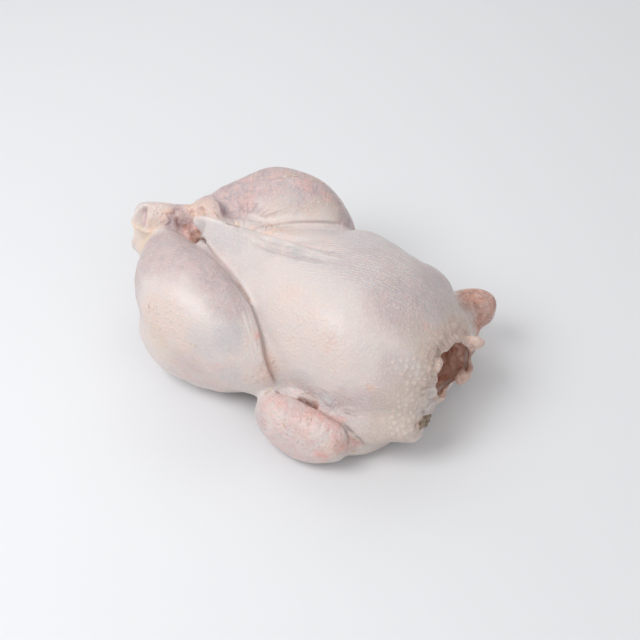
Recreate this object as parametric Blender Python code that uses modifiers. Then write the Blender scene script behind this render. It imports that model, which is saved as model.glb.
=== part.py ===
"""Whole raw chicken, plucked and drawn, lying on its back with its shanks crossed.

The bird is one piece: the trunk, both legs and both wings are masses of flesh
under one skin. Each mass is a loft through named stations. A voxel remesh fuses
the masses into one skin, and the neck and vent hollows are cut out of it.

Frame: +X from tail to neck, +Y to the far side, +Z up, which is the breast.
The origin is under the middle of the bounding box, on the surface it lies on.
Stations are written in the millimetres of a bird DRAWN_LENGTH long, and the
bird is made LENGTH long.
"""

import math

import bmesh
import bpy
from mathutils import Vector

LENGTH = 0.261  # from the knuckles to the neck skin, in metres
DRAWN_LENGTH = 280.8  # the same span in the stations' millimetres
UNIT = LENGTH / DRAWN_LENGTH
TO_CENTRE = Vector((31.6, 0, 0))  # brings the middle of the bird's box to the origin

RING_SIDES = 16  # points round each station of a loft
ROUNDING_LEVELS = 2
BELOW_WIDEST = 2.2  # superellipse exponent of a barrel's lower half
SKIN_VOXEL = 0.0017  # grain of the fused skin
TAUT_PASSES = 7  # smoothing passes that draw the skin over the joins
TAUT_STRENGTH = 0.5
SKIN_SHARE = 0.073  # share of the skin's faces that are kept
GROUND_SIZE = 0.6

SKIN_COLOUR = (0.74, 0.58, 0.53, 1.0)
SKIN_ROUGHNESS = 0.42


def clear_scene():
    for obj in list(bpy.data.objects):
        bpy.data.objects.remove(obj, do_unlink=True)


def collection(name):
    made = bpy.data.collections.new(name)
    bpy.context.scene.collection.children.link(made)
    return made


def superellipse(angle, exponent):
    """A point of the unit superellipse: exponent 2 is round, less is more pointed."""
    c, s = math.cos(angle), math.sin(angle)
    power = 2 / exponent
    return math.copysign(abs(c) ** power, c), math.copysign(abs(s) ** power, s)


def loft(name, rings, home):
    """A closed form through rings of equal point count, rounded by subdivision."""
    bm = bmesh.new()
    loops = [[bm.verts.new((p + TO_CENTRE) * UNIT) for p in ring] for ring in rings]
    for one, two in zip(loops, loops[1:]):
        for i in range(RING_SIDES):
            j = (i + 1) % RING_SIDES
            bm.faces.new((one[i], one[j], two[j], two[i]))
    bm.faces.new(loops[0])
    bm.faces.new(loops[-1])
    bmesh.ops.recalc_face_normals(bm, faces=bm.faces)
    mesh = bpy.data.meshes.new(name)
    bm.to_mesh(mesh)
    bm.free()
    obj = bpy.data.objects.new(name, mesh)
    home.objects.link(obj)
    obj.hide_render = True
    obj.display_type = "WIRE"
    rounding = obj.modifiers.new("rounding", "SUBSURF")
    rounding.levels = rounding.render_levels = ROUNDING_LEVELS
    return obj


def barrel(name, stations, home):
    """A loft along X. Each station is x, middle y, half width, then the heights of
    the top, the widest line and the bottom, and how pointed its upper half is."""
    rings = []
    for x, y, width, top, widest, bottom, exponent in stations:
        ring = []
        for i in range(RING_SIDES):
            upper = i <= RING_SIDES / 2
            across, upward = superellipse(
                2 * math.pi * i / RING_SIDES, exponent if upper else BELOW_WIDEST
            )
            reach = top - widest if upper else widest - bottom
            ring.append(Vector((x, y + across * width, widest + upward * reach)))
        rings.append(ring)
    return loft(name, rings, home)


def limb(name, stations, home):
    """A loft along any line. Each station is x, y, z and its half thickness
    sideways and upward; the rings stand square to the line."""
    centres = [Vector(s[:3]) for s in stations]
    rings = []
    for i, (centre, station) in enumerate(zip(centres, stations)):
        ahead = centres[min(i + 1, len(centres) - 1)]
        along = (ahead - centres[max(i - 1, 0)]).normalized()
        side = along.cross(Vector((0, 0, 1))).normalized()
        rise = side.cross(along)
        turns = [2 * math.pi * k / RING_SIDES for k in range(RING_SIDES)]
        rings.append([
            centre
            + side * math.cos(turn) * station[3]
            + rise * math.sin(turn) * station[4]
            for turn in turns
        ])
    return loft(name, rings, home)


def trunk(home):
    """Breast, back and tail in one barrel, and the belly skin drawn to a point."""
    body = (
        (-112, 0, 14, 62, 42, 28, 2.0),
        (-100, 0, 30, 80, 42, 16, 1.8),
        (-80, 0, 42, 90, 44, 6, 1.6),
        (-58, 0, 52, 97, 46, 0, 1.7),
        (-30, 1, 61, 104, 50, -2, 1.95),
        (0, 1, 67, 111, 52, -3, 2.15),
        (30, 1, 68.5, 115, 52, -3, 2.2),
        (56, -3, 63, 107.5, 51, -1, 2.2),
        (76, -4, 54, 95.5, 48, 3, 2.15),
        (90, -3, 47, 83, 46, 8, 2.1),
        (98, -3, 37, 69, 44, 16, 2.1),
    )
    apron = (
        (-124, 0, 3, 90, 87, 84, 1.4),
        (-112, 0, 12, 93, 83, 74, 1.35),
        (-95, 0, 24, 95, 79, 62, 1.35),
        (-75, 0, 35, 96, 75, 52, 1.4),
        (-45, 0, 46, 99, 72, 52, 1.55),
        (-15, 0, 50, 104, 70, 54, 1.8),
    )
    tail = (
        (-96, 0, 26, 40, 28, 12, 2.0),
        (-116, 0, 19, 36, 25, 13, 2.0),
        (-128, 0, 13, 32, 24, 15, 2.0),
        (-138, 0, 7, 28, 23, 18, 2.0),
    )
    return [
        barrel("body", body, home),
        barrel("apron", apron, home),
        barrel("tail", tail, home),
    ]


def legs(home):
    """Thighs, drumsticks, and the shanks that cross behind the belly skin."""
    near_drumstick = (
        (-2, -68, 38, 7, 10),
        (-24, -67, 45, 22, 27),
        (-54, -61, 55, 34, 38),
        (-88, -53, 60, 39, 41),
        (-114, -41, 63, 32, 33),
        (-131, -25, 66, 20, 20),
        (-143, -10, 66, 11, 11),
    )
    near_thigh = (
        (6, -60, 32, 6, 9),
        (-14, -60, 34, 20, 24),
        (-52, -56, 37, 35, 39.5),
        (-92, -52, 38, 40, 41),
        (-124, -42, 40, 28, 29),
    )
    far_drumstick = (
        (-19, 55, 46, 8, 12),
        (-41, 61, 59, 28, 35),
        (-76, 60, 68, 39, 43),
        (-104, 44.5, 69, 31, 32),
        (-124, 27.5, 72, 16, 16),
        (-138, 13, 75, 11, 11),
    )
    far_thigh = (
        (-8, 60, 32, 9, 12),
        (-30, 62, 36, 27, 30),
        (-60, 58, 37, 36, 39.5),
        (-92, 52, 37, 40, 40.5),
        (-122, 41, 40, 27, 28),
    )
    far_shank = (
        (-116, 24, 75, 13, 13),
        (-130, 11, 76, 10, 10),
        (-143, 0, 76, 11, 12),
        (-154, -8, 74, 15.5, 16.5),
        (-163, -14, 73, 16, 17),
        (-168, -17, 72.5, 12, 13),
    )
    near_shank = (
        (-118, -28, 64, 16, 16),
        (-134, -22, 60, 13, 13),
        (-146, -17, 58, 13, 13),
        (-157, -12, 58, 16, 15),
        (-166, -9, 57, 12, 12),
    )
    pelvic_skin = (
        (-104, 0, 68, 12, 12),
        (-118, 2, 64, 14, 12),
        (-134, 4, 62, 11, 11),
        (-145, 2, 62, 7, 7),
    )
    return [
        limb("near_drumstick", near_drumstick, home),
        limb("near_thigh", near_thigh, home),
        limb("far_drumstick", far_drumstick, home),
        limb("far_thigh", far_thigh, home),
        limb("far_shank", far_shank, home),
        limb("near_shank", near_shank, home),
        limb("pelvic_skin", pelvic_skin, home),
    ]


def wings(home):
    """Folded wings: upper arm along the trunk, forearm laid back beside it."""
    made = []
    for side, label in ((-1, "near"), (1, "far")):
        forearm = (
            (-13, 75 * side, 22, 8, 9),
            (-2, 77 * side, 22, 17, 18),
            (22, 79 * side, 21, 20, 21),
            (48, 77 * side, 20, 19, 20),
            (62, 73 * side, 20, 12, 13),
        )
        upper_arm = (
            (-4, 66 * side, 24, 10, 10),
            (30, 60 * side, 26, 15, 16),
            (62, 54 * side, 27, 19, 20),
            (84, 44 * side, 28, 20, 22),
            (95, 34 * side, 28, 14, 16),
        )
        wing_tip = (
            (48, 70 * side, 14, 12, 10),
            (62, 62 * side, 10, 11, 8),
            (72, 50 * side, 8, 9, 7),
            (74, 38 * side, 7, 6, 5),
        )
        made.append(limb(label + "_forearm", forearm, home))
        made.append(limb(label + "_upper_arm", upper_arm, home))
        made.append(limb(label + "_wing_tip", wing_tip, home))
    wrist = (
        (50, 66, 26, 12, 13),
        (64, 70, 33, 14, 15),
        (78, 74, 40, 15, 17),
        (88, 76, 42, 12, 15),
        (93, 76, 42, 6, 9),
    )
    made.append(limb("far_wrist", wrist, home))
    return made


def neck(home):
    """The collar of cut neck skin, its mouth turned up and to the near side."""
    collar = (
        (62, 16, 41, 22, 26),
        (84, 9, 45, 24, 26),
        (95, 5, 47.5, 22.5, 25),
        (102, 3, 49, 20.5, 23),
    )
    far_tag = ((92, 18, 62, 4, 4), (102, 25, 59, 4.5, 3.5), (110, 31, 56, 3, 2.5))
    low_tag = ((88, 17, 28, 5, 5), (99, 18, 29, 4.5, 5), (107, 18, 32, 3, 3.5))
    return [
        limb("collar", collar, home),
        limb("far_tag", far_tag, home),
        limb("low_tag", low_tag, home),
    ]


def folds(home):
    """Stretched skin: the keel's edge, the webs to both legs, a band over the hock."""
    keel = (
        (-122, 1, 88, 1.5, 1.5),
        (-98, 2, 92, 3, 3),
        (-66, 1, 96, 3, 3),
        (-34, 1, 102, 3, 3),
        (0, 0, 109, 1.5, 1.5),
    )
    far_web = (
        (-88, 3, 86, 2, 3),
        (-78, 11, 85, 4, 5),
        (-66, 23, 83, 5, 6),
        (-52, 36, 81, 6, 7),
        (-38, 46, 79, 7, 8),
        (-22, 53, 76, 8, 8),
        (-5, 57, 70, 6, 6),
    )
    near_web = (
        (-100, -12, 82, 1.5, 1.5),
        (-66, -32, 79, 2.5, 3),
        (-40, -47, 73, 2.5, 3),
        (-18, -60, 60, 2.5, 3),
        (-2, -68, 40, 2, 2),
    )
    hock_band = (
        (-104, 6, 88, 4, 4),
        (-114, 12, 88, 8, 8),
        (-124, 19, 85, 8, 8),
        (-130, 26, 78, 8, 8),
        (-128, 34, 66, 5, 5),
    )
    return [
        limb("keel", keel, home),
        limb("far_web", far_web, home),
        limb("near_web", near_web, home),
        limb("hock_band", hock_band, home),
    ]


def joined(name, masses, home):
    """One mesh that holds all the masses, still overlapping."""
    bpy.context.view_layer.update()
    graph = bpy.context.evaluated_depsgraph_get()
    bm = bmesh.new()
    for mass in masses:
        bm.from_mesh(bpy.data.meshes.new_from_object(mass.evaluated_get(graph)))
    mesh = bpy.data.meshes.new(name)
    bm.to_mesh(mesh)
    bm.free()
    obj = bpy.data.objects.new(name, mesh)
    home.objects.link(obj)
    return obj


def one_skin(obj, name):
    """A single skin over all that overlaps."""
    remesh = obj.modifiers.new(name, "REMESH")
    remesh.mode = "VOXEL"
    remesh.voxel_size = SKIN_VOXEL


def taut(obj):
    """The skin drawn smooth over joins and cut edges."""
    smooth = obj.modifiers.new("taut_skin", "SMOOTH")
    smooth.factor = TAUT_STRENGTH
    smooth.iterations = TAUT_PASSES


def cut(obj, cutter):
    boolean = obj.modifiers.new("cut_" + cutter.name, "BOOLEAN")
    boolean.operation = "DIFFERENCE"
    boolean.object = cutter


def thin_out(obj):
    """Fewer faces where the skin is smooth."""
    fewer = obj.modifiers.new("fewer_faces", "DECIMATE")
    fewer.ratio = SKIN_SHARE


def hollows(home):
    """The neck hollow, a blind pocket, and the shallow vent under the shanks."""
    neck_hollow = (
        (46, 22, 38, 7, 9),
        (56, 18, 39, 13, 15),
        (74, 12, 43, 18, 20),
        (90, 5, 46.5, 18.5, 20.5),
        (120, -8, 53, 22, 24),
    )
    vent = (
        (-90, 0, 50, 8, 8),
        (-104, 0, 47, 14, 9),
        (-126, 0, 41, 16, 8),
        (-165, 0, 32, 18, 8),
    )
    return [limb("neck_hollow", neck_hollow, home), limb("vent", vent, home)]


def ground(home):
    """The block under the surface that the bird lies on, which flattens its back."""
    bpy.ops.mesh.primitive_cube_add(size=GROUND_SIZE, location=(0, 0, -GROUND_SIZE / 2))
    block = bpy.context.object
    block.name = "ground"
    for user in list(block.users_collection):
        user.objects.unlink(block)
    home.objects.link(block)
    block.hide_render = True
    block.display_type = "WIRE"
    return block


def skin_material():
    material = bpy.data.materials.new("raw_skin")
    material.use_nodes = True
    shader = material.node_tree.nodes["Principled BSDF"]
    shader.inputs["Base Color"].default_value = SKIN_COLOUR
    shader.inputs["Roughness"].default_value = SKIN_ROUGHNESS
    shader.inputs["Metallic"].default_value = 0.0
    return material


def main():
    clear_scene()
    guides = collection("masses")
    cutters = collection("cutters")
    masses = [*trunk(guides), *legs(guides), *wings(guides), *neck(guides), *folds(guides)]
    chicken = joined("chicken", masses, collection("whole_raw_chicken"))
    one_skin(chicken, "one_skin")
    for hollow in hollows(cutters):
        cut(chicken, hollow)
    one_skin(chicken, "skin_round_cuts")
    taut(chicken)
    thin_out(chicken)
    cut(chicken, ground(cutters))
    chicken.data.materials.append(skin_material())


main()
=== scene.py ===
"""Whole raw chicken on its back: skin, cut neck, crossed shanks and folded wings."""

import itertools
import math
import bpy
import numpy as np
from mathutils import Matrix, Vector
from mathutils.bvhtree import BVHTree
from mathutils.kdtree import KDTree


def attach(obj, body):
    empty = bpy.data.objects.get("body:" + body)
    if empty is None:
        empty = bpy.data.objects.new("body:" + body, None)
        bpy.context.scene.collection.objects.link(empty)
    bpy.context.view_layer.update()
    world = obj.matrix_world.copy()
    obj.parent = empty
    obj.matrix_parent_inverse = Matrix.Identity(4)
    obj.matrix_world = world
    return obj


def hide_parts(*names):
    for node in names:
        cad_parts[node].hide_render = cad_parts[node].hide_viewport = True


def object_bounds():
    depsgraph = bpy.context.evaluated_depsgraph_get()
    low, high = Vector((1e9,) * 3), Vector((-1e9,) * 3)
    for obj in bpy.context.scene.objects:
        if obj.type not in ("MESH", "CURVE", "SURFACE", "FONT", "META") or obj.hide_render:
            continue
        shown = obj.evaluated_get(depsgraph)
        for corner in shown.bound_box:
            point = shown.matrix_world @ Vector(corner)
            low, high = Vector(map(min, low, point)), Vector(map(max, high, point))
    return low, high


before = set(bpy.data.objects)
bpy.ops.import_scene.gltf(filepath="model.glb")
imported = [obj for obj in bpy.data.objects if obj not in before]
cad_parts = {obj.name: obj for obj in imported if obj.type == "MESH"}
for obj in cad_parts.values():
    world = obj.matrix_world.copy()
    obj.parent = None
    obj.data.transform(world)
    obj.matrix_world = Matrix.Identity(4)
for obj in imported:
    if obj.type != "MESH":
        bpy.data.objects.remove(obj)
cad_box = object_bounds()

# ---------------------------------------------------------------- studio
# A pale table top under soft light from above and the left, and the camera, which
# looks down on the breast from the neck side. The bird was drawn 280.8 mm long, so
# places below are in those drawn millimetres and scaled to the CAD bird's length.

DRAWN_LENGTH = 280.8
DRAWN_MIDDLE = -31.6
MM = (cad_box[1].x - cad_box[0].x) / DRAWN_LENGTH


def at(x, y, z):
    return Vector((x - DRAWN_MIDDLE, y, z)) * MM


def direction(azimuth, elevation):
    a, e = math.radians(azimuth), math.radians(elevation)
    return Vector((math.sin(a) * math.cos(e), -math.cos(a) * math.cos(e), math.sin(e)))


aim = at(-8, -5, 46)
camera = bpy.data.objects.new("camera", bpy.data.cameras.new("camera"))
bpy.context.scene.collection.objects.link(camera)
camera.data.lens = 70
camera.data.sensor_width = 36
camera.location = aim + direction(33, 45) * 900 * MM
camera.rotation_euler = direction(33, 45).to_track_quat("Z", "Y").to_euler()
bpy.context.scene.camera = camera

bpy.ops.object.select_all(action="DESELECT")
bpy.ops.mesh.primitive_plane_add(size=8, location=(0, 0, -0.0002))
table = bpy.context.object
table.name = "table_top"
table_paint = bpy.data.materials.new("pale_table")
table_paint.use_nodes = True
table_shader = table_paint.node_tree.nodes["Principled BSDF"]
table_shader.inputs["Base Color"].default_value = (0.83, 0.84, 0.86, 1)
table_shader.inputs["Roughness"].default_value = 0.6
table.data.materials.append(table_paint)

for name, azimuth, elevation, distance, size, watts in (
    ("key", -32, 52, 1.1, 0.6, 6.35),
    ("fill", -120, 40, 1.3, 0.9, 1.5),
    ("neck side", 66, 38, 1.2, 0.9, 1.5),
    ("rim", 200, 50, 1.2, 0.6, 1.5),
):
    lamp = bpy.data.objects.new(name, bpy.data.lights.new(name, "AREA"))
    lamp.data.size = size
    lamp.data.energy = watts
    lamp.location = aim + direction(azimuth, elevation) * distance
    lamp.rotation_euler = direction(azimuth, elevation).to_track_quat("Z", "Y").to_euler()
    bpy.context.scene.collection.objects.link(lamp)

sky = bpy.data.worlds.new("studio")
bpy.context.scene.world = sky
sky.use_nodes = True
sky.node_tree.nodes["Background"].inputs["Color"].default_value = (1, 1, 1, 1)
sky.node_tree.nodes["Background"].inputs["Strength"].default_value = 0.46
bpy.context.scene.view_settings.view_transform = "Standard"

# ---------------------------------------------------------------- skin, shape
# One plucked skin over trunk, legs and wings, with fat and flesh under it. It starts
# as a copy of the CAD bird, is woven finer, and is then worked like clay: places are
# pulled, creases pressed in, folds and feather follicles raised.

SKIN_WEAVE = 0.00075
SKIN_TRIANGLES = 194000

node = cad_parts["chicken"]
skin = bpy.data.objects.new("skin", node.data.copy())
bpy.context.scene.collection.objects.link(skin)
skin.data.materials.clear()
bpy.ops.object.select_all(action="DESELECT")
skin.select_set(True)
bpy.context.view_layer.objects.active = skin
bpy.ops.object.mode_set(mode="EDIT")
bpy.ops.mesh.select_all(action="SELECT")
bpy.ops.mesh.remove_doubles(threshold=0.00001)
bpy.ops.object.mode_set(mode="OBJECT")


def finish_modifiers(piece):
    for modifier in list(piece.modifiers):
        bpy.ops.object.modifier_apply(modifier=modifier.name)


rounding = skin.modifiers.new("rounding", "SUBSURF")
rounding.levels = rounding.render_levels = 1
weave = skin.modifiers.new("weave", "REMESH")
weave.mode = "VOXEL"
weave.voxel_size = SKIN_WEAVE
soft = skin.modifiers.new("soft", "SMOOTH")
soft.factor = 0.5
soft.iterations = 10
finish_modifiers(skin)


def points_of(mesh):
    co = np.empty(len(mesh.vertices) * 3)
    mesh.vertices.foreach_get("co", co)
    return co.reshape(-1, 3)


def normals_of(mesh):
    normals = np.empty(len(mesh.vertices) * 3)
    mesh.vertex_normals.foreach_get("vector", normals)
    return normals.reshape(-1, 3)


def reshape(mesh, co):
    mesh.vertices.foreach_set("co", co.ravel())
    mesh.update()


def ease(t):
    t = np.clip(t, 0, 1)
    return t * t * (3 - 2 * t)


def hills(co, size, seed):
    """Soft random hills from -1 to 1, about size mm across, the same on every run."""
    heights = np.random.default_rng(seed).uniform(-1, 1, (32, 32, 32))
    q = co / (size * MM) + 7.3 * seed
    cell = np.floor(q).astype(int)
    share = ease(q - cell)
    total = np.zeros(len(co))
    for step in itertools.product((0, 1), repeat=3):
        weight = np.prod(np.where(step, share, 1 - share), axis=1)
        total += weight * heights[tuple(((cell + step) % 32).T)]
    return total


def smooth_path(corners, step):
    """A smooth curve through the corners, with a point about every step mm."""
    ends = [2 * corners[0] - corners[1], *corners, 2 * corners[-1] - corners[-2]]
    path = []
    for a, b, c, d in zip(ends, ends[1:], ends[2:], ends[3:]):
        count = max(2, int((c - b).length / (step * MM)))
        for t in np.arange(count) / count:
            path.append(
                0.5 * (2 * b + (c - a) * t + (2 * a - 5 * b + 4 * c - d) * t**2
                       + (3 * b - a - 3 * c + d) * t**3)
            )
    return [*path, corners[-1]]


def from_path(co, normals, path):
    """Each point's distance in mm from the path, below zero on its right, and its share of the way."""
    best = np.full(len(co), 1e9)
    along = np.zeros(len(co))
    side = np.ones(len(co))
    for i, (a, b) in enumerate(zip(path, path[1:])):
        span = b - a
        share = np.clip((co - a) @ span / max(span @ span, 1e-12), 0, 1)
        off = co - (a + share[:, None] * span)
        away = np.linalg.norm(off, axis=1)
        nearer = away < best
        best[nearer] = away[nearer]
        along[nearer] = (i + share[nearer]) / (len(path) - 1)
        left = (np.cross(span, off[nearer]) * normals[nearer]).sum(axis=1)
        side[nearer] = np.where(left < 0, -1, 1)
    return best * side / MM, along


class Surface:
    """The skin as it stands: its points, normals and a way to lay a line on it."""

    def __init__(self, piece):
        self.co = points_of(piece.data)
        self.normals = normals_of(piece.data)
        self.tree = BVHTree.FromObject(piece, bpy.context.evaluated_depsgraph_get())

    def line(self, corners, reach, step=3):
        """The points within reach mm of a line laid on the skin: which, how far off, how far along."""
        path = smooth_path([at(*c) for c in corners], step)
        path = np.array([self.tree.find_nearest(p)[0] for p in path])
        low, high = path.min(0) - reach * MM, path.max(0) + reach * MM
        close = np.flatnonzero(((self.co > low) & (self.co < high)).all(axis=1))
        away, along = from_path(self.co[close], self.normals[close], path)
        return close, away, along


def pull(co, places):
    """Moves soft round places: a centre, a reach and a shift, all in mm."""
    for centre, reach, shift in places:
        away = np.linalg.norm(co - at(*centre), axis=1) / (reach * MM)
        co += np.outer(np.clip(1 - away**2, 0, 1) ** 2, Vector(shift) * MM)
    return co


reshape(skin.data, pull(points_of(skin.data), (
    ((-116, -84, 52), 6, (2.0, 2.0, 0)),  # the notch in the near leg's outline
    ((-114, -7, 84), 11, (5.5, 3.2, 0.0)),  # the breast's edge, drawn back from the shank
    ((-116, -3, 71), 8, (0.0, 1.5, -5.0)),  # the dark gap between them
    ((34, 50, 93), 24, (-0.6, -2.4, -1.6)),  # the breast's far side, flatter in the middle than at its ends
    ((-3, 45, 94), 20, (-0.5, 1.9, 1.9)),
    ((59, 50, 81), 21, (1.1, 2.1, 1.2)),
    ((68, 48, 79), 15, (0.8, 1.2, 0.8)),
    ((-101, 67, 95), 25, (-1.2, 1.3, 1.7)),  # the far leg
    ((-133, 32, 83), 13, (1.0, -0.6, -1.2)),
    ((-164, -17, 87), 12, (2.6, 1.6, 0.0)),  # the shanks' ends
    ((-160, -27, 68), 16, (3.2, 2.4, 0.8)),
    ((-114, -77, 33), 25, (-1.2, -1.4, -0.6)),  # the near thigh, fuller below
    ((-92, -82, 20), 25, (-1.0, -2.8, -1.6)),
    ((-68, -81, 14), 22, (0.0, -1.6, -1.2)),
    ((-31, -74, 16), 20, (-1.3, 2.8, 2.6)),
    ((12, -93, 11), 22, (-0.4, -2.0, -1.2)),  # the near wing
    ((33, -93, 9), 22, (0.2, -2.0, -1.6)),
    ((87, -57, 14), 22, (-2.2, 3.4, 4.0)),  # the shoulder's low edge
    ((88, 60, 33), 12, (2.5, 2.5, -2.5)),  # the far wing's joint, hanging lower
    ((100, 44, 32), 30, (-11.0, -8.0, 0.0)),  # the cut neck, trimmed close on the far side
    ((106, 26, 44), 13, (-4.0, -3.0, 0.0)),
    ((106, 8, 24), 20, (-10.0, -5.0, 3.0)),
    ((100, -22, 22), 18, (-3.0, 1.0, 1.0)),
    ((94, 0, 16), 15, (-9.0, 0.0, 0.0)),
    ((106, 27, 57), 9, (-3.0, -2.0, 0.0)),
    ((96, -6, 71), 13, (-3.2, -1.4, 0.0)),  # the mouth, wider on the near side
    ((96, -16, 69), 6, (2.0, 2.0, 1.5)),  # the nub where the near flap meets the arch
)))

surface = Surface(skin)
lift = np.zeros(len(surface.co))


def ridge(width, height, *corners, fade=0.2, round=2.0):
    """A fold along a line, round or sharp, or a crease where its height is below zero."""
    close, away, along = surface.line(corners, 4 * width)
    taper = ease(np.minimum(along, 1 - along) / fade)
    lift[close] += height * np.exp(-((np.abs(away) / width) ** round)) * taper


def crease(width, depth, *corners, fade=0.15):
    """A sharp crease pressed in along a line."""
    close, away, along = surface.line(corners, 6 * width)
    taper = ease(np.minimum(along, 1 - along) / fade)
    lift[close] -= depth * np.exp(-np.abs(away) / width) * taper


def lap(width, over, under, *corners, fade=0.15):
    """Skin that laps over its neighbour: raised on the line's right, pressed in on its left."""
    close, away, along = surface.line(corners, 5 * width)
    taper = ease(np.minimum(along, 1 - along) / fade)
    rise = (over - under) / 2 - (over + under) / 2 * np.tanh(away / 0.8)
    lift[close] += rise * np.exp(-np.abs(away) / width) * taper


# near leg against the breast: the breast's edge laps over it by the knee, the leg's over the breast below
NEAR_CREASE = ((-106, -13, 85), (-88, -23, 85), (-63, -34, 85), (-48, -41, 82), (-33, -50, 79),
               (-18, -62, 69), (-9, -70, 58), (-1, -70, 39))
lap(4.0, 1.2, 2.2, *NEAR_CREASE[:5][::-1], fade=0.2)
lap(3.0, 1.5, 3.0, *NEAR_CREASE[3:], fade=0.2)
crease(1.0, 1.6, *NEAR_CREASE)
for shift in (3.5, 6, 9):
    ridge(1.0, 0.8 - shift / 25, *((x - shift * 0.7, y - shift * 0.6, z + shift * 0.5)
                                   for x, y, z in NEAR_CREASE[3:]), fade=0.45)
# the breast's edge, stretched tight from the strap over the shanks to the keel
KEEL = ((-120, 0, 90), (-103, -1, 93), (-87, -1, 95), (-66, -2, 97), (-45, -4, 99), (-25, -4, 104),
        (-3, -3, 109), (20, 2, 112))
ridge(1.8, 3.6, *KEEL, fade=0.35, round=1.0)
ridge(1.4, -2.2, (-62, -8, 96), (-50, -8, 98), (-32, -9, 102), (-12, -9, 106), (8, -6, 109), fade=0.3)
ridge(3.5, -3.4, (-108, 5, 92), (-84, 7, 92), (-66, 7, 93), (-45, 7, 97), (-20, 7, 104), fade=0.3)
crease(1.1, 2.2, (-98, 4, 92), (-74, 3, 95), (-45, 2, 99), (-18, 2, 106), (6, 5, 110))
crease(1.0, 2.2, (-96, 1, 94), (-91, 0, 94), (-85, 0, 95), (-77, 0, 96))
# the breast's far edge over the far leg
FAR_EDGE = ((-84, 4, 95), (-74, 9, 93), (-69, 17, 91), (-62, 29, 88), (-52, 36, 89), (-39, 46, 88), (-26, 60, 82))
lap(2.4, 2.2, 1.7, *FAR_EDGE[::-1])
# skin of the far leg drawn into a fan of fine pleats
FAN_ROOT = (-88, 9, 91)
FAN_ENDS = ((-99, 30, 92), (-94, 33, 94), (-88, 37, 98), (-82, 34, 94), (-76, 33, 94), (-66, 38, 95))
for end in FAN_ENDS:
    middle = tuple((a + b) / 2 for a, b in zip(FAN_ROOT, end))
    ridge(1.0, 1.0, FAN_ROOT, middle, end, fade=0.4)
for start, end in (((-97, 15, 90), (-88, 6, 92)), ((-92, 16, 90), (-85, 7, 92)), ((-88, 18, 90), (-82, 8, 92))):
    crease(0.8, 1.5, start, tuple((a + b) / 2 for a, b in zip(start, end)), end, fade=0.4)
# the strap of skin over the shanks, and the breast's edge down beside the gap
lap(2.6, 2.2, 2.4, (-133, 6, 86), (-131, 15, 86), (-126, 21, 88), (-117, 20, 91), (-107, 14, 92), (-99, 8, 92))
ridge(1.6, 1.6, (-130, 9, 87), (-120, 10, 92), (-109, 6, 93), (-100, 2, 94), round=1.3)
crease(0.8, 1.8, (-130, 3, 87), (-123, 5, 91), (-112, 2, 92), fade=0.3)
crease(1.2, 2.0, (-126, -2, 75), (-120, -5, 76), (-112, -9, 79), (-105, -13, 82), fade=0.3)
crease(0.9, 2.2, (-116, -7, 77), (-110, -11, 80), (-104, -14, 84), (-99, -16, 85), fade=0.3)
ridge(1.8, 1.8, (-121, 1, 89), (-117, -4, 84), (-112, -9, 80), (-106, -13, 80), round=1.2)
# folds by the near wing
crease(1.5, 3.6, (-2, -73, 38), (15, -70, 36), (31, -71, 37), (44, -72, 36), (56, -71, 33), (64, -71, 28), fade=0.08)
crease(2.4, 3.4, (14, -70, 36), (24, -69.5, 36), (34, -70.5, 37), fade=0.4)
ridge(3.6, 2.2, (30, -64, 43), (38, -64, 43), (48, -65, 42), fade=0.45)
crease(0.6, 0.9, (50, -67, 40), (56, -67, 42), (62, -65, 42), fade=0.4)
ridge(1.6, 0.9, (48, -66, 43), (56, -65, 45), (63, -62, 45), fade=0.4)
for x in (6, 13, 19, 26, 33, 41, 48):
    crease(0.7, 0.8, (x, -76, 39), (x + 3, -83, 39), (x + 4, -89, 35), fade=0.45)
crease(0.6, 0.7, (24, -64, 50), (32, -64, 50), (41, -63, 48), fade=0.4)
crease(0.8, 2.2, (52, -72, 34), (59, -73, 30), (62, -76, 22), (62, -77, 13), fade=0.25)
crease(0.7, 1.2, (60, -71, 31), (67, -69, 25), (69, -68, 18), fade=0.35)
# the shoulder's skin ends in an edge over the far wing's joint, which folds at its middle
lap(2.4, 2.2, 3.2, (70, 70, 54), (74, 69, 53), (79, 65, 51), (84, 62, 45), (87, 60, 36), (88, 56, 30))
crease(0.9, 1.3, (84, 74, 52), (89, 72, 45), (89, 68, 37), fade=0.3)
ridge(1.3, 1.0, (91, 74, 50), (93, 70, 43), (90, 66, 37), fade=0.3)
crease(1.0, 1.4, (74, 74, 56), (82, 76, 50), (86, 74, 42), (86, 70, 34), fade=0.3)
# shank skin: torn where it was cut at the knuckle, with a purple crease below
CUFF = ((-141, 2, 88), (-138, -4, 86), (-142, -7, 86), (-137, -9, 82), (-140, -14, 79))
lap(1.8, 1.1, 0.6, *CUFF)
crease(0.6, 0.6, *CUFF)
crease(1.0, 1.6, (-136, -3, 84), (-134, -5, 79), (-131, -6, 74), fade=0.3)

# each shank's cut end: a shallow dish of gristle, grooved, in a rolled edge of skin and fat
KNUCKLES = (((-152.5, -17.3, 86.5), (-0.456, -0.676, 0.530), 10.5), ((-168, -13, 58), (-0.95, -0.28, -0.1), 9.0))


def cut_end(co, centre, facing, radius):
    """For one shank end: how far each point lies out of it, off its middle, to its right and up."""
    facing = Vector(facing).normalized()
    upward = Vector((-0.385, 0.593, 0.707))
    upward = (upward - upward.project(facing)).normalized()
    off = (co - np.array(at(*centre))) / MM
    out = off @ facing
    away = np.linalg.norm(off - np.outer(out, facing), axis=1)
    dish = ease((out + 16) / 6) * ease((radius - away) / 2.5)
    return out, away, off @ upward.cross(facing), off @ upward, dish


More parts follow.
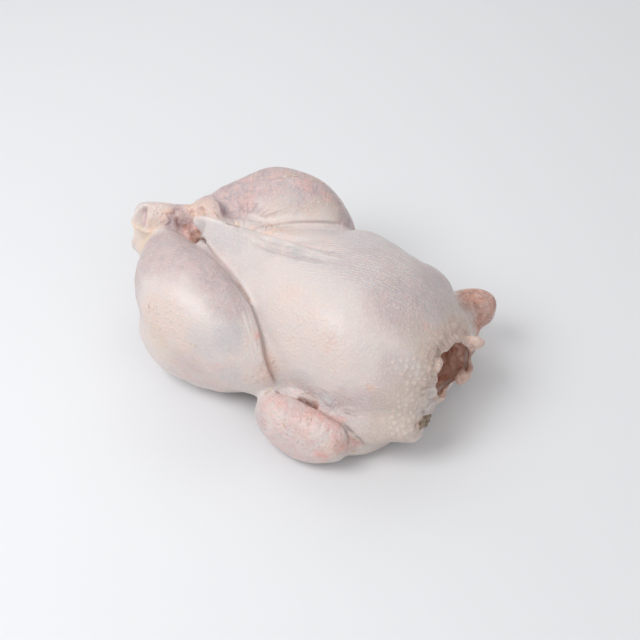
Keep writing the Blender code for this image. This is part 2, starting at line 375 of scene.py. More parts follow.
dished = np.zeros((len(surface.co), 3))
for centre, facing, radius in KNUCKLES:
    out, away, right, up, dish = cut_end(surface.co, centre, facing, radius)
    sunk = np.maximum(out + 1.8, 0) + 1.5 * np.exp(-(((right + 0.5 * radius + 0.1 * up) / 1.2) ** 2))
    sunk -= 1.0 * np.exp(-(((right + 0.1 * radius) / 2.4) ** 2))
    dished -= np.outer(sunk * dish, Vector(facing).normalized())
    rolled = ease((out + 16) / 6) * np.exp(-(((away - radius - 0.8) / 1.9) ** 2)) * (0.5 + 1.7 * ease(0.5 - up / radius / 2))
    lift += rolled * (1 + 0.5 * hills(surface.co, 4, 9))

# the neck's mouth: where the wall of the hollow turns out into the skin
HOLLOW = ((46, 22, 38), (56, 18, 39), (74, 12, 43), (90, 5, 46.5), (120, -8, 53))
HOLLOW_RADIUS = 21
hollow = np.array([at(*c) for c in HOLLOW])
axis = np.array((at(*HOLLOW[-1]) - at(*HOLLOW[2])).normalized())
across = np.cross(axis, (0, 0, 1))
across /= np.linalg.norm(across)
upward = np.cross(across, axis)


def in_hollow(co, normals):
    """Distance from the hollow's axis in mm, how far along it, and whether the skin faces it."""
    away, along = from_path(co, normals, hollow)
    nearest = hollow[0] + np.outer((co - hollow[0]) @ axis, axis)
    facing = (normals * (nearest - co)).sum(axis=1) / (np.abs(away) * MM + 1e-9)
    return np.abs(away), along, facing


def mouth_path(co, normals):
    """The rim of the mouth, one point for each of 40 directions round the hollow."""
    away, along, facing = in_hollow(co, normals)
    wall = np.flatnonzero((away < HOLLOW_RADIUS + 3) & (facing > 0.35) & (along > 0.3))
    flat = co[wall] - hollow[2]
    turn = np.arctan2(flat @ upward, flat @ across)
    rim = []
    for i in range(40):
        here = np.abs((turn - i * math.tau / 40 + math.pi) % math.tau - math.pi) < 0.12
        if here.any():
            rim.append(co[wall[here][np.argmax((co[wall[here]] @ axis))]])
    return np.array([(a + b + c) / 3 for a, b, c in zip([rim[-1], *rim], rim, [*rim[1:], rim[0]])] + [rim[0]])


mouth = mouth_path(surface.co, surface.normals)
near_mouth = np.flatnonzero(np.linalg.norm(surface.co - mouth.mean(axis=0), axis=1) < 60 * MM)
mouth_co, mouth_normals = surface.co[near_mouth], surface.normals[near_mouth]
from_rim, round_rim = from_path(mouth_co, mouth_normals, mouth)
from_rim = np.abs(from_rim)
away, along, facing = in_hollow(mouth_co, mouth_normals)
inside = facing > 0.2
out = np.where(inside, -from_rim, from_rim)
lift[near_mouth] += 2.0 * np.exp(-(((out - 2.4) / 3.0) ** 2)) * (1 + 0.45 * hills(mouth_co, 7, 3))
lift[near_mouth] -= 1.1 * np.exp(-(((out - 8) / 2.4) ** 2)) + 2.2 * np.exp(-(((out + 6) / 3) ** 2))
lift[near_mouth] += np.where(inside, 1.8 * hills(mouth_co, 8, 4) + 1.2 * hills(mouth_co, 3.5, 5), 0)
draw = np.random.default_rng(6)
pleats = np.interp(round_rim * 64, np.arange(65), draw.uniform(-1, 1, 65))
lift[near_mouth] += np.where(inside, 0, 0.65 * pleats * np.exp(-((out - 8) / 6) ** 2))
ragged = np.zeros((len(surface.co), 3))
ragged[near_mouth] = np.outer(
    np.exp(-((from_rim / 4.5) ** 2)) * (1.8 * hills(mouth_co, 8, 7) + 1.0 * hills(mouth_co, 3.5, 8) - 0.8), axis)

# unevenness of flesh under the skin, everywhere
lift += 0.55 * hills(surface.co, 22, 1) + 0.28 * hills(surface.co, 9, 2)
co = surface.co + (surface.normals * lift[:, None] + ragged + dished) * MM
reshape(skin.data, np.clip(co, np.array(cad_box[0]) + 0.2 * MM, np.array(cad_box[1]) - 0.6 * MM))


def patch(co, places, soft=0.6, wander=4.0):
    """How far each point lies in some round places, 0 to 1; a place is x, y, z, reach and strength."""
    warped = co + wander * MM * np.stack([hills(co, 13, s) + 0.5 * hills(co, 5, s + 3) for s in (21, 22, 23)], axis=1)
    share = np.zeros(len(co))
    for x, y, z, reach, strength in places:
        away = np.linalg.norm(warped - at(x, y, z), axis=1) / (reach * MM)
        share = np.maximum(share, strength * ease((1 - away) / soft))
    return share


def follicles(co, share, spacing, seed):
    """Where feathers grew: places at least spacing mm apart, on the skin whose share is high."""
    tree = KDTree(len(co))
    for i, c in enumerate(co):
        tree.insert(c, i)
    tree.balance()
    draw = np.random.default_rng(seed)
    taken = np.zeros(len(co), bool)
    kept = []
    for i in draw.permutation(np.flatnonzero(share > draw.uniform(0.1, 0.6, len(co)))):
        if not taken[i]:
            kept.append(i)
            taken[[j for _, j, _ in tree.find_range(co[i], spacing * MM)]] = True
    return kept, tree


# feather follicles stand up most on the near shoulder and by the neck
SHOULDER = ((92, -34, 62, 19, 1), (93, -46, 46, 16, 0.9), (84, -38, 76, 13, 0.5), (90, -54, 38, 10, 0.4))
co, normals = points_of(skin.data), normals_of(skin.data)
places, tree = follicles(co, patch(co, SHOULDER), 4.1, 11)
sizes = np.random.default_rng(12).uniform(0.75, 1.25, len(places))
lift = np.zeros(len(co))
for i, size in zip(places, sizes):
    for _, j, away in tree.find_range(co[i], 2.8 * size * MM):
        lift[j] = max(lift[j], 0.6 * size * math.exp(-((away / (1.3 * size * MM)) ** 2)))
follicle_places = [tuple(co[i] + normals[i] * 0.5 * MM) for i in places]
reshape(skin.data, co + normals * lift[:, None] * MM)

thin = skin.modifiers.new("thin", "DECIMATE")
thin.ratio = SKIN_TRIANGLES / (2 * len(skin.data.polygons))
finish_modifiers(skin)
bpy.ops.object.shade_smooth()

# ---------------------------------------------------------------- skin, finish
# Raw skin is thin and half clear, so what lies under it shows: lilac over dark meat,
# yellow fat, red bruises. The share of each tint is painted on the skin's points, and
# the material breaks it up with mottling, pores, fibres and a wet sheen. Some shares
# are painted light: painted shade and shadow in the creases, the gap and the mouth,
# a paler wall inside the mouth, and painted highlight lines along the crests.

final = Surface(skin)
co, normals = final.co, final.normals


def paint(mesh, name, values):
    values = np.asarray(values, float)
    kind = "FLOAT_VECTOR" if values.ndim == 2 else "FLOAT"
    layer = mesh.attributes.new(name, kind, "POINT")
    layer.data.foreach_set("vector" if values.ndim == 2 else "value", values.ravel())


def stroke(lines):
    """How close each point lies to some lines, 0 to 1; a line is its width, strength and corners."""
    share = np.zeros(len(co))
    for width, strength, *corners in lines:
        close, away, along = final.line(corners, 3 * width)
        taper = ease(np.minimum(along, 1 - along) / 0.12)
        share[close] = np.maximum(share[close], strength * np.exp(-((away / width) ** 2)) * taper)
    return share


paint(skin.data, "lilac", patch(co, (
    (-122, -40, 84, 36, 0.8), (-98, -44, 92, 34, 0.8), (-68, -48, 92, 27, 0.85), (-128, -62, 62, 26, 0.8),
    (-48, -58, 88, 20, 0.6), (-110, 30, 88, 34, 1), (-95, 55, 96, 40, 1), (-62, 72, 98, 36, 1),
    (-38, 78, 84, 34, 1), (-134, -2, 82, 17, 1), (68, -58, 52, 24, 0.5), (52, -64, 46, 18, 0.5),
    (60, -8, 102, 34, 0.6), (70, 22, 90, 36, 0.6), (26, 6, 108, 30, 0.4), (78, -45, 78, 20, 0.3),
    (26, -98, 14, 26, 0.25), (-60, -100, 34, 30, 0.3), (-80, 88, 62, 36, 0.6), (-110, 60, 60, 30, 0.5), (24, -82, 37, 16, 0.45),
    (-4, -92, 22, 16, 0.5), (40, -92, 28, 10, 0.25),
)))
# cool grey: bluish patches of the skin itself, and painted shade in a band along the near side of the keel
paint(skin.data, "cool_tint_and_shade", patch(co, (
    (-38, -78, 76, 17, 1), (-52, -84, 66, 16, 0.6), (-30, -86, 52, 16, 0.5), (-100, -8, 91, 22, 0.9), (-80, -10, 92, 20, 0.7),
    (-26, -8, 103, 12, 0.8), (-6, -7, 107, 12, 0.6), (-45, -8, 98, 12, 0.6), (-20, 40, 96, 26, 0.5),
    (10, 28, 106, 30, 0.5), (38, -65, 43, 10, 1), (-66, 44, 100, 18, 0.5), (18, -64, 52, 16, 0.5),
    (20, -12, 108, 26, 0.35), (-60, -20, 92, 24, 0.35),
)))
paint(skin.data, "peach", patch(co, (
    (-92, -84, 62, 26, 1), (-72, -90, 62, 24, 0.8), (-80, -84, 78, 22, 0.7), (-60, -94, 40, 30, 0.7),
    (-30, -76, 56, 16, 0.6), (-24, -68, 66, 12, 0.7), (-14, -72, 52, 16, 0.9), (-46, -90, 36, 26, 0.6), (8, -50, 88, 30, 0.45),
    (-10, -42, 90, 20, 0.5), (36, -58, 80, 26, 0.35), (66, -57, 69, 7, 1), (-62, 16, 93, 16, 1),
    (-46, 20, 95, 16, 0.6), (-78, 6, 94, 10, 0.8), (-118, 10, 92, 17, 1), (-128, 10, 88, 11, 0.8),
    (-150, -4, 88, 14, 1), (-146, -12, 84, 10, 0.9), (24, -92, 26, 30, 0.15), (90, -62, 24, 26, 0.7), (-14, 10, 106, 18, 0.4),
    (-70, 92, 34, 36, 0.7), (-110, 60, 36, 30, 0.6), (20, 84, 26, 30, 0.6), (50, 84, 30, 26, 0.6), (-30, 0, 4, 60, 0.4),
    (28, -86, 36, 12, 0.7),
)))
paint(skin.data, "rose", patch(co, (
    (59, -82, 30, 10, 1), (51, -92, 21, 8, 1), (56, -81, 33, 8, 0.9), (6, -82, 37, 16, 0.6), (34, -78, 39, 16, 0.8),
    (50, -78, 36, 12, 0.6), (62, -75, 18, 8, 0.9), (24, -90, 30, 36, 0.3), (-119, 2, 80, 7, 1), (-156, -8, 90, 6, 0.6),
    (60, 84, 30, 22, 0.5), (82, 76, 34, 24, 0.6), (26, 84, 20, 22, 0.3), (-60, 92, 40, 12, 0.3), (-40, -86, 52, 7, 0.4), (-62, 60, 103, 10, 0.5), (-84, 56, 100, 9, 0.5), (-100, 44, 94, 9, 0.6),
    (-48, 64, 98, 8, 0.5), (-96, 30, 92, 9, 0.4), (80, -6, 90, 3.5, 0.5), (77, -11, 91, 3, 0.5), (-18, -61, 71, 5, 0.8),
    (88, 72, 38, 12, 0.7), (30, -50, 88, 8, 0.3), (-124, -4, 76, 9, 0.9),
    (24, -98, 20, 8, 0.3), (92, 76, 42, 9, 0.6), (4, -78, 40, 9, 0.6),
)))
paint(skin.data, "cream", patch(co, (
    (-156, -27, 76, 13, 1), (-150, -28, 68, 16, 1), (-160, -12, 62, 16, 0.9), (-146, -22, 78, 9, 0.8), (-68, 34, 96, 18, 0.25),
    (-44, 54, 92, 18, 0.35), (104, 24, 58, 10, 0.8), (-88, -92, 50, 22, 0.4),
)))
paint(skin.data, "tan", patch(co, (
    (88, -46, 56, 32, 1), (84, -58, 34, 30, 0.9), (92, -14, 78, 26, 1), (92, 20, 76, 26, 1), (76, -68, 20, 26, 0.7),
    (78, -18, 90, 20, 0.6),
    (80, 50, 66, 22, 0.4), (94, -10, 20, 16, 0.9), (66, 76, 56, 14, 0.8),
    (76, 72, 30, 24, 0.6), (88, 58, 33, 9, 1), (85, 58, 44, 11, 1), (30, 84, 36, 24, 0.3), (60, -84, 10, 22, 0.5),
)))
paint(skin.data, "russet", patch(co, (
    (70, 76, 54, 14, 1), (80, 74, 52, 16, 1), (92, 72, 46, 18, 1), (88, 66, 34, 16, 1), (-127, 0, 76, 7, 0.9),
    (-119, -3, 74, 8, 0.9), (-112, -10, 78, 7, 0.7), (62, -72, 22, 5, 0.7), (34, -73, 38, 6, 0.4), (44, -73, 36, 6, 0.4), (-126, -2, 75, 7, 0.9), (98, -44, 34, 7, 0.8), (-138, -5, 86, 5, 0.5), (-134, 0, 85, 8, 0.35), (94, 70, 42, 14, 1), (27, -67, 39, 6, 0.6), (60, -84, 28, 7, 0.35),
)))
paint(skin.data, "apricot", patch(co, (
    (-118, 10, 92, 12, 0.9), (-129, 12, 87, 12, 0.9), (-89, 9, 91, 6, 0.9), (-106, 4, 94, 8, 0.7), (-143, -8, 86, 8, 1), (-62, 16, 93, 9, 0.7),
    (-76, 6, 94, 8, 0.6), (-144, -9, 86, 7, 0.8), (-148, -20, 78, 6, 0.7), (-158, -27, 78, 5, 0.8), (-24, -64, 70, 8, 0.6),
    (-12, -71, 54, 9, 0.6), (-82, 62, 102, 8, 0.5), (-66, 74, 100, 8, 0.5), (-52, 80, 92, 8, 0.4), (66, -57, 69, 4, 0.8),
    (56, -88, 27, 9, 0.6), (31, -57, 83, 4, 0.8), (30, -82, 40, 8, 0.5), (64, -74, 24, 6, 0.5), (-122, 0, 77, 6, 0.7),
), wander=3))
rim_path = mouth_path(co, normals)
close = np.flatnonzero(np.linalg.norm(co - rim_path.mean(axis=0), axis=1) < 70 * MM)
from_rim, _ = from_path(co[close], normals[close], rim_path)
away, along, facing = in_hollow(co[close], normals[close])
flesh = np.zeros(len(co))
flesh[close] = (away < HOLLOW_RADIUS + 6) * ease((facing - 0.1) / 0.4) * ease((np.abs(from_rim) - 0.6) / 2.5)
flesh = np.maximum(flesh, patch(co, (
    (105, 17, 46, 9, 0.9), (104, 13, 36, 9, 0.9), (101, 18, 30, 10, 0.8), (106, 24, 52, 8, 0.8)), wander=2))
low = ease((61 - co[close, 2] / MM) / 6) * ease((co[close, 1] / MM + 14) / 6) * ease((7 - np.abs(from_rim)) / 3)
flesh[close] = np.maximum(flesh[close], 0.9 * low)
# painted light: the lower far wall inside the mouth takes only half the dark flesh, so it shows paler, as if lit
flesh *= 1 - 0.55 * patch(co, ((97, 9, 31, 9, 1), (98, 16, 36, 7, 0.8)))
paint(skin.data, "flesh", flesh)
# dark red-brown lines in the creases: partly the crease's own colour, partly painted shade, strongest and widest in the
# deep crease by the near wing
paint(skin.data, "crease", stroke((
    (1.3, 0.45, *NEAR_CREASE[:4]), (1.4, 0.9, *NEAR_CREASE[2:]), (3.5, 0.3, *NEAR_CREASE),
    (1.3, 0.9, (-95, 1, 94), (-90, 0, 95), (-85, 0, 95), (-79, 0, 96)), (1.0, 0.14, *FAR_EDGE),
    (1.2, 0.9, (-2, -73, 38), (12, -71, 37), (22, -70, 36), (33, -71, 37)), (2.8, 1.0, (14, -70, 36), (24, -69.5, 36), (34, -70.5, 37)),
    (1.2, 0.6, (32, -71, 37), (44, -72, 36), (56, -71, 33), (64, -71, 28)), (1.0, 0.35, (51, -67, 41), (57, -67, 42), (62, -65, 42)),
    (1.2, 0.7, (54, -72, 33), (60, -74, 29), (62, -76, 21)), (1.1, 0.5, (61, -71, 30), (67, -69, 25), (69, -68, 18)),
    (0.9, 0.35, *CUFF), (2.0, 0.5, (-136, -3, 84), (-134, -5, 79), (-131, -6, 74)),
    (1.0, 0.8, (-128, -2, 76), (-122, -5, 77), (-116, -8, 79)),
    (0.9, 0.45, (-130, 3, 87), (-123, 5, 91), (-112, 2, 92)),
)))
dots = np.zeros(len(co))
near_dot = KDTree(len(follicle_places))
for i, place in enumerate(follicle_places):
    near_dot.insert(place, i)
near_dot.balance()
for i in np.flatnonzero(patch(co, SHOULDER, soft=0.9) > 0):
    dots[i] = math.exp(-((near_dot.find(co[i])[2] / (1.2 * MM)) ** 2))
paint(skin.data, "dots", dots)
paint(skin.data, "marbled", patch(co, (
    (-106, 38, 94, 26, 1), (-90, 52, 100, 24, 0.9), (-66, 64, 103, 20, 0.6), (-44, 76, 92, 20, 0.4), (-126, -48, 78, 24, 0.3))))
paint(skin.data, "goosed", patch(co, (
    (24, -88, 30, 46, 1), (60, -78, 24, 22, 1), (-96, -84, 50, 40, 0.5), (60, 80, 34, 46, 0.9), (-90, 84, 50, 50, 0.5),
    (88, 70, 44, 22, 0.6))))
# painted shadow: near black in the gap under the breast's edge by the shanks, in the low corners of the neck's mouth
# and along the deepest crease by the near wing
paint(skin.data, "pit_shadow", np.maximum(
    patch(co, ((103, 20, 50, 7, 0.6), (103, 17, 42, 6, 0.5), (-119, -2, 73, 7, 0.35), (-116, -3, 69, 5.5, 1), (-112, -5, 71, 6, 1), (-107, -9, 75, 5, 1)), soft=0.5, wander=0.8),
    stroke(((1.5, 1.0, (-116, -7, 77), (-110, -11, 80), (-104, -14, 84), (-98, -16, 85)),
            (1.5, 0.55, (15, -70, 36), (24, -69.5, 36), (33, -70.5, 37))))))
# painted highlights: thin pale lines along the crests of the keel, the breast's edges over both legs, the strap and the
# near leg's edge
paint(skin.data, "highlight_line", stroke((
    (1.6, 0.9, *KEEL[:6]), (1.6, 0.6, (-70, -2, 97), (-45, -4, 99), (-25, -4, 104), (-3, -3, 109)),
    (1.5, 0.8, *((x + 2, y + 2.5, z) for x, y, z in NEAR_CREASE[:5])),
    (1.4, 0.7, *((x, y - 1, z - 2) for x, y, z in FAR_EDGE)), (1.2, 0.5, (-130, 9, 88), (-120, 10, 92), (-109, 6, 93)),
    (1.0, 0.7, (-40, -58, 85), (-26, -66, 76), (-14, -71, 62), (-5, -73, 50)),
)))
paint(skin.data, "shade", stroke((
    (2.0, 0.9, (-106, 4, 92), (-90, 4, 93), (-74, 3, 95), (-56, 2, 97), (-36, 1, 101), (-14, 2, 106), (8, 5, 110)),
    (1.6, 0.7, *((x, y - 3, z + 1) for x, y, z in FAR_EDGE)),
    (1.5, 0.9, (-68, -8, 95), (-50, -9, 98), (-32, -10, 101), (-14, -9, 105), (4, -7, 109), (18, -4, 111)),
    (1.0, 0.6, (-36, -60, 84), (-23, -67, 74), (-11, -72, 60)), (1.0, 0.6, (-46, -57, 88), (-32, -64, 82), (-22, -70, 70)),
)))
# the loose skin over the mouth dries into fine wrinkles that run outwards from it
from_rim, round_rim = from_path(co[close], normals[close], rim_path)
crinkles, crinkled = np.zeros((len(co), 3)), np.zeros(len(co))
crinkles[close, 0], crinkles[close, 1] = round_rim * 90, np.abs(from_rim) / 7
crinkled[close] = (flesh[close] < 0.2) * ease((26 - np.abs(from_rim)) / 16) * ease((co[close, 2] / MM - 50) / 14)
paint(skin.data, "crinkles", crinkles)
paint(skin.data, "crinkled", crinkled)
fleshy = np.zeros((2, len(co)))
for centre, facing, radius in KNUCKLES:
    out, away, right, up, dish = cut_end(co, centre, facing, radius)
    fleshy[0] = np.maximum(fleshy[0], dish * (0.5 + 0.5 * ease(1 - np.abs(right + 0.1 * radius) / 5)))
    fleshy[1] = np.maximum(fleshy[1], dish * np.exp(-(((right + 0.5 * radius + 0.1 * up) / 2.0) ** 2)) * ease((8 - np.abs(up)) / 4))
paint(skin.data, "gristle", fleshy[0])
paint(skin.data, "plum", fleshy[1])

# breast fibres run from the keel to the neck, turning slowly to the far side
body = np.stack([co[:, 0] / MM + DRAWN_MIDDLE, co[:, 1] / MM, co[:, 2] / MM], axis=1)
turn = np.degrees(np.arctan2(body[:, 1], body[:, 2] - 45)) - 0.19 * body[:, 0]
fade = ease((body[:, 0] + 42) / 60) * ease((100 - body[:, 0]) / 25) * ease((turn + 30) / 22) * ease((body[:, 2] - 55) / 20)
paint(skin.data, "strands", np.stack([turn, body[:, 0] / 18, np.zeros(len(co))], axis=1))
paint(skin.data, "fibrous", fade)


def tone(red, green, blue):
    """A colour named by its share of red, green and blue light, in hundredths."""
    return (red / 100, green / 100, blue / 100, 1)


class Recipe:
    """A shader tree and short ways to add to it."""

    def __init__(self, tree):
        self.tree = tree

    def add(self, kind, **settings):
        made = self.tree.nodes.new(kind)
        for name, value in settings.items():
            if name in made.bl_rna.properties:
                setattr(made, name, value)
            else:
                self.feed(made.inputs[name.replace("_", " ")], value)
        return made

    def feed(self, socket, value):
        if isinstance(value, bpy.types.NodeSocket):
            self.tree.links.new(value, socket)
        else:
            socket.default_value = value

    def math(self, operation, first, second=0.0, third=0.0, clamp=False):
        made = self.tree.nodes.new("ShaderNodeMath")
        made.operation, made.use_clamp = operation, clamp
        for socket, value in zip(made.inputs, (first, second, third)):
            self.feed(socket, value)
        return made.outputs[0]

    def mix(self, share, under, over):
        made = self.tree.nodes.new("ShaderNodeMix")
        made.data_type = "RGBA"
        self.feed(made.inputs["Factor"], share)
        self.feed(made.inputs[6], under)
        self.feed(made.inputs[7], over)
        return made.outputs[2]

    def painted(self, name, output="Fac"):
        return self.add("ShaderNodeAttribute", attribute_name=name).outputs[output]

    def step(self, value, low, high):
        made = self.tree.nodes.new("ShaderNodeMapRange")
        made.interpolation_type = "SMOOTHSTEP"
        for socket, given in zip(made.inputs, (value, low, high)):
            self.feed(socket, given)
        return made.outputs[0]


def group(name, inputs, outputs):
    tree = bpy.data.node_groups.new(name, "ShaderNodeTree")
    for label, kind, value in inputs:
        socket = tree.interface.new_socket(label, in_out="INPUT", socket_type=kind)
        if value is not None:
            socket.default_value = value
    for label in outputs:
        tree.interface.new_socket(label, in_out="OUTPUT", socket_type="NodeSocketFloat")
    recipe = Recipe(tree)
    return recipe, tree.nodes.new("NodeGroupInput").outputs, tree.nodes.new("NodeGroupOutput").inputs


# patches: soft uneven blotches of a given size, sharp or faint by their contrast
recipe, given, out = group("blotches", (
    ("Vector", "NodeSocketVector", None), ("Size mm", "NodeSocketFloat", 8.0), ("Low", "NodeSocketFloat", 0.4),
    ("High", "NodeSocketFloat", 0.6), ("Detail", "NodeSocketFloat", 2.0)), ("Share",))
noise = recipe.add("ShaderNodeTexNoise", Vector=given["Vector"], Detail=given["Detail"],
                   Scale=recipe.math("DIVIDE", 1000.0, given["Size mm"]), Distortion=0.4)
recipe.feed(out["Share"], recipe.step(noise.outputs["Fac"], given["Low"], given["High"]))

# pores: small round bumps in uneven rows, with a pit in the middle of some
recipe, given, out = group("pores", (
    ("Vector", "NodeSocketVector", None), ("Spacing mm", "NodeSocketFloat", 3.0)), ("Bump", "Dot"))
cells = recipe.add("ShaderNodeTexVoronoi", Vector=given["Vector"], Randomness=0.75,
                   Scale=recipe.math("DIVIDE", 1000.0, given["Spacing mm"]))
dome = recipe.math("SUBTRACT", 1.0, recipe.math("MULTIPLY", cells.outputs["Distance"], 1.7), clamp=True)
recipe.feed(out["Bump"], recipe.math("POWER", dome, 1.6))
recipe.feed(out["Dot"], recipe.step(cells.outputs["Distance"], 0.30, 0.10))

# fibres: thin pale lines side by side across the painted strand turn, coming and going
recipe, given, out = group("fibres", (
    ("Vector", "NodeSocketVector", None), ("Each degree", "NodeSocketFloat", 0.5)), ("Line",))
split = recipe.add("ShaderNodeSeparateXYZ", Vector=given["Vector"])
slow = recipe.add("ShaderNodeCombineXYZ", X=recipe.math("MULTIPLY", split.outputs["X"], 0.13),
                  Y=recipe.math("MULTIPLY", split.outputs["Y"], 0.4), Z=0.0)
wobble = recipe.add("ShaderNodeTexNoise", Vector=slow.outputs[0], Scale=1.0, Detail=1.0)
phase = recipe.math("MULTIPLY", split.outputs["X"], recipe.math("MULTIPLY", given["Each degree"], math.tau))
phase = recipe.math("MULTIPLY_ADD", wobble.outputs["Fac"], 7.0, phase)
wave = recipe.math("MULTIPLY_ADD", recipe.math("SINE", phase), 0.5, 0.5)
quick = recipe.add("ShaderNodeCombineXYZ", X=recipe.math("MULTIPLY", split.outputs["X"], 0.5),
                   Y=split.outputs["Y"], Z=4.0)
grain = recipe.add("ShaderNodeTexNoise", Vector=quick.outputs[0], Scale=1.0, Detail=3.0, Roughness=0.6)
strong = recipe.step(grain.outputs["Fac"], 0.36, 0.58)
recipe.feed(out["Line"], recipe.math("MULTIPLY", recipe.math("POWER", wave, 5.0), strong))


def use(recipe, name, **values):
    made = recipe.tree.nodes.new("ShaderNodeGroup")
    made.node_tree = bpy.data.node_groups[name]
    for label, value in values.items():
        recipe.feed(made.inputs[label.replace("_", " ")], value)
    return made.outputs


paint_of_skin = bpy.data.materials.new("raw_skin")
paint_of_skin.use_nodes = True
recipe = Recipe(paint_of_skin.node_tree)
place = recipe.add("ShaderNodeTexCoord").outputs["Object"]
wide = use(recipe, "blotches", Vector=place, Size_mm=26, Low=0.35, High=0.65)["Share"]
patchy = use(recipe, "blotches", Vector=place, Size_mm=9, Low=0.36, High=0.64, Detail=2)["Share"]
mottled = use(recipe, "blotches", Vector=place, Size_mm=6.5, Low=0.4, High=0.62, Detail=1)["Share"]
fine = use(recipe, "blotches", Vector=place, Size_mm=1.3, Low=0.42, High=0.64, Detail=2)["Share"]
pores = use(recipe, "pores", Vector=place, Spacing_mm=2.9)
lines = use(recipe, "fibres", Vector=recipe.painted("strands", "Vector"), Each_degree=0.45)["Line"]
fibrous = recipe.painted("fibrous")
fibre = recipe.math("MULTIPLY", lines, fibrous)
lilac, cool_tint_and_shade, peach, rose = (recipe.painted(name) for name in ("lilac", "cool_tint_and_shade", "peach", "rose"))
cream, tan, flesh, crease_tint_and_shade, dots = (recipe.painted(name) for name in ("cream", "tan", "flesh", "crease", "dots"))
pit_shadow, russet, apricot = (recipe.painted(name) for name in ("pit_shadow", "russet", "apricot"))
highlight_line, shade, gristle, plum = (recipe.painted(name) for name in ("highlight_line", "shade", "gristle", "plum"))


def part(share, broken, least):
    """A painted share broken up by a pattern, keeping at least a given part of it."""
    return recipe.math("MULTIPLY", share, recipe.math("MULTIPLY_ADD", broken, 1 - least, least), clamp=True)


colour = recipe.mix(recipe.math("MULTIPLY", wide, 0.5), tone(72, 64.5, 62.5), tone(78, 66, 62))
colour = recipe.mix(part(peach, patchy, 0.45), colour, tone(80, 62, 55))
# cool grey, partly the skin's own bluish patches and partly painted shade beside the keel
colour = recipe.mix(part(cool_tint_and_shade, wide, 0.6), colour, tone(57, 54, 55))
colour = recipe.mix(part(lilac, patchy, 0.75), colour, tone(47, 36, 38))
colour = recipe.mix(part(recipe.math("MULTIPLY", lilac, 0.75), mottled, 0.0), colour, tone(66, 50, 49))
marble = use(recipe, "blotches", Vector=place, Size_mm=4.2, Low=0.45, High=0.6, Detail=1)["Share"]
colour = recipe.mix(part(recipe.math("MULTIPLY", recipe.painted("marbled"), 0.7), marble, 0.0), colour, tone(69, 48, 44))
colour = recipe.mix(part(tan, patchy, 0.7), colour, tone(62, 51, 45))
colour = recipe.mix(part(cream, patchy, 0.6), colour, tone(80, 63, 48))
colour = recipe.mix(part(apricot, patchy, 0.6), colour, tone(83, 58, 47))
colour = recipe.mix(part(rose, mottled, 0.4), colour, tone(80, 45, 41))
colour = recipe.mix(part(russet, patchy, 0.8), colour, recipe.mix(mottled, tone(50, 26, 20), tone(66, 37, 29)))
colour = recipe.mix(recipe.math("MULTIPLY", fine, 0.2), colour, tone(88, 80, 78))
colour = recipe.mix(recipe.math("MULTIPLY", pores["Dot"], 0.35), colour, tone(88, 79, 73))
colour = recipe.mix(recipe.math("MULTIPLY", fibrous, 0.3), colour, tone(56, 48, 49))
colour = recipe.mix(fibre, colour, tone(94, 89, 87))
crinkle = recipe.add("ShaderNodeTexNoise", Vector=recipe.painted("crinkles", "Vector"), Scale=1.0, Detail=3.0, Roughness=0.6)
crinkle = recipe.step(crinkle.outputs["Fac"], 0.34, 0.66)
crinkled = recipe.painted("crinkled")
colour = recipe.mix(recipe.math("MULTIPLY", crinkled, 0.75), colour, recipe.mix(crinkle, tone(63, 43.5, 37), tone(86, 67, 58)))
colour = recipe.mix(recipe.math("MULTIPLY", shade, 0.42), colour, tone(48, 41, 43))
# painted highlight lines along the crests
colour = recipe.mix(recipe.math("MULTIPLY", highlight_line, 0.72), colour, tone(91, 83, 79))
colour = recipe.mix(gristle, colour, recipe.mix(patchy, tone(80, 69, 65), tone(75, 60, 53)))
colour = recipe.mix(plum, colour, tone(50, 33, 38))
colour = recipe.mix(recipe.math("MULTIPLY", dots, 0.5), colour, tone(86, 76, 66))
# dark red-brown in the creases, partly their own colour and partly painted shade
colour = recipe.mix(recipe.math("MULTIPLY", crease_tint_and_shade, 0.9), colour, tone(32, 16, 13))
meat = recipe.mix(patchy, tone(56, 27, 19), tone(78, 55, 45))
meat = recipe.mix(recipe.math("MULTIPLY", mottled, 0.5), meat, tone(88, 68, 58))
colour = recipe.mix(flesh, colour, meat)
# painted shadow, near black, in the gap, the mouth's corners and the wing's deep crease
colour = recipe.mix(recipe.math("MULTIPLY", pit_shadow, 0.95), colour, tone(16, 7, 4))

height = recipe.math("MAXIMUM", recipe.math("MAXIMUM", peach, rose), recipe.math("MULTIPLY", lilac, 0.6))
height = recipe.math("MAXIMUM", height, recipe.math("MULTIPLY", recipe.painted("goosed"), 0.95))
height = recipe.math("MULTIPLY", pores["Bump"], recipe.math("MULTIPLY_ADD", height, 1.0, 0.12))
height = recipe.math("MULTIPLY_ADD", fine, 0.16, height)
height = recipe.math("MULTIPLY_ADD", mottled, 0.16, height)
height = recipe.math("MULTIPLY_ADD", fibre, 0.75, height)
height = recipe.math("MULTIPLY_ADD", recipe.math("MULTIPLY", crinkle, crinkled), 1.1, height)
bump = recipe.add("ShaderNodeBump", Strength=0.9, Distance=0.0008, Height=height)
wet = recipe.math("MULTIPLY_ADD", patchy, 0.14, 0.36)

shader = paint_of_skin.node_tree.nodes["Principled BSDF"]
recipe.feed(shader.inputs["Base Color"], colour)
recipe.feed(shader.inputs["Roughness"], wet)
recipe.feed(shader.inputs["Normal"], bump.outputs["Normal"])
shader.inputs["Subsurface Weight"].default_value = 0.22
shader.inputs["Subsurface Radius"].default_value = (1.0, 0.4, 0.25)
shader.inputs["Subsurface Scale"].default_value = 0.0015
shader.inputs["Coat Weight"].default_value = 0.2
shader.inputs["Coat Roughness"].default_value = 0.22
skin.data.materials.append(paint_of_skin)
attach(skin, "root")
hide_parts("chicken")

